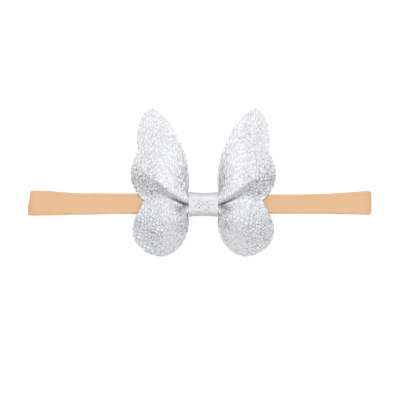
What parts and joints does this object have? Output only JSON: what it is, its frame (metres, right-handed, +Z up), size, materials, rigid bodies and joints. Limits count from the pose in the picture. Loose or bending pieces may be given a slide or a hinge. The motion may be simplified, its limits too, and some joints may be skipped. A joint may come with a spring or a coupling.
{
  "type": "bow headband",
  "caption": "Soft nylon headband loop lying folded flat, with a pinched butterfly-shaped bow of pebbled silver leather held on its front run by a wound leather strip.",
  "frame": {"origin": "on the table under the middle of the wrap, on the underside of the headband's back run", "axes": "+X along the folded headband, +Y towards the tips of the upper wings, +Z up from the table towards the bow"},
  "size_m": [0.1559, 0.0674, 0.016],
  "materials": {
    "nylon": "soft peach nylon knit, matt",
    "bow_leather": "silver, pebbled, satin shine",
    "wrap_leather": "silver, stretched smoother than the bow, satin shine"
  },
  "bodies": {
    "root": {"headband": "nylon", "bow_wings": "bow_leather", "centre_wrap": "wrap_leather"}
  },
  "joints": []
}
